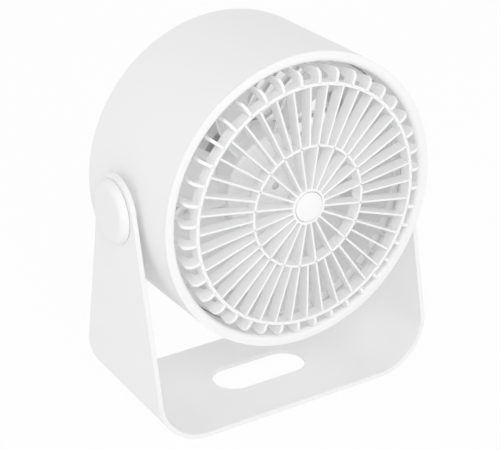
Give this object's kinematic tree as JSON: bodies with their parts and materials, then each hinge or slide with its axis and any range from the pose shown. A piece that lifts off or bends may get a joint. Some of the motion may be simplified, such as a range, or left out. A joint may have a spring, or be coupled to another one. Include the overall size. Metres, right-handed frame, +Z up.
{
  "type": "desk fan",
  "caption": "Small desk fan: a short white drum with a radial front grille that tilts between the arms of a bent U-shaped stand with a slotted base.",
  "frame": {"origin": "on the surface that the fan stands on, under the middle of its overall width and length; the tilt axis passes 4.1 mm behind it and 139.5 mm above it", "axes": "+Z up, -Y the way the air leaves at rest, X along the tilt axis with +X to the right as seen from the front"},
  "size_m": [0.205, 0.1024, 0.2315],
  "materials": {
    "matte_white": "fine matte moulded",
    "gloss_white": "smooth glossy moulded",
    "stand_white": "white powder coat on bent plate",
    "foot_rubber": "matte",
    "steel": "plated",
    "dark_steel": "phosphated",
    "copper": "enamelled copper wire",
    "bronze": "sintered bronze",
    "ferrite": "matte",
    "board": "coated circuit board",
    "black_plastic": "moulded",
    "nylon": "natural nylon"
  },
  "bodies": {
    "stand": {"stand_bracket": "stand_white", "foot_front_left": "foot_rubber", "foot_rear_left": "foot_rubber", "foot_front_right": "foot_rubber", "foot_rear_right": "foot_rubber", "friction_washer_right": "nylon", "friction_washer_left": "nylon"},
    "head": {"drum_housing": "matte_white", "front_bezel": "gloss_white", "front_grille": "gloss_white", "grille_badge": "gloss_white", "air_duct": "matte_white", "rear_cover": "matte_white", "motor_plate": "steel", "bearing_sleeve": "bronze", "stator_core": "dark_steel", "stator_coil_1": "copper", "stator_coil_2": "copper", "stator_coil_3": "copper", "stator_coil_4": "copper", "cover_screw_1": "steel", "cover_screw_2": "steel", "cover_screw_3": "steel", "cover_screw_4": "steel", "motor_screw_1": "steel", "motor_screw_2": "steel", "motor_screw_3": "steel", "pivot_screw_right": "steel", "pivot_screw_left": "steel", "pivot_cap_right": "matte_white", "pivot_cap_left": "matte_white", "control_lid": "matte_white", "control_board": "board", "push_switch": "black_plastic", "power_inlet": "steel"},
    "impeller": {"impeller": "gloss_white", "rotor_yoke": "dark_steel", "ring_magnet": "ferrite", "motor_shaft": "steel", "shaft_clip": "steel"},
    "button": {"power_button": "gloss_white"}
  },
  "joints": [
    {"name": "head_tilt", "type": "hinge", "parent": "stand", "child": "head", "pos_m": [0, 0.0041, 0.1395], "axis": [-1, 0, 0], "range_deg": [-90, 90]},
    {"name": "impeller_spin", "type": "hinge", "parent": "head", "child": "impeller", "pos_m": [0, 0.0041, 0.1395], "axis": [0, 1, 0], "continuous": true},
    {"name": "power_button_press", "type": "slide", "parent": "head", "child": "button", "axis": [0, -1, 0], "range_m": [0, 0.0012], "stiffness_N_per_m": 800}
  ]
}
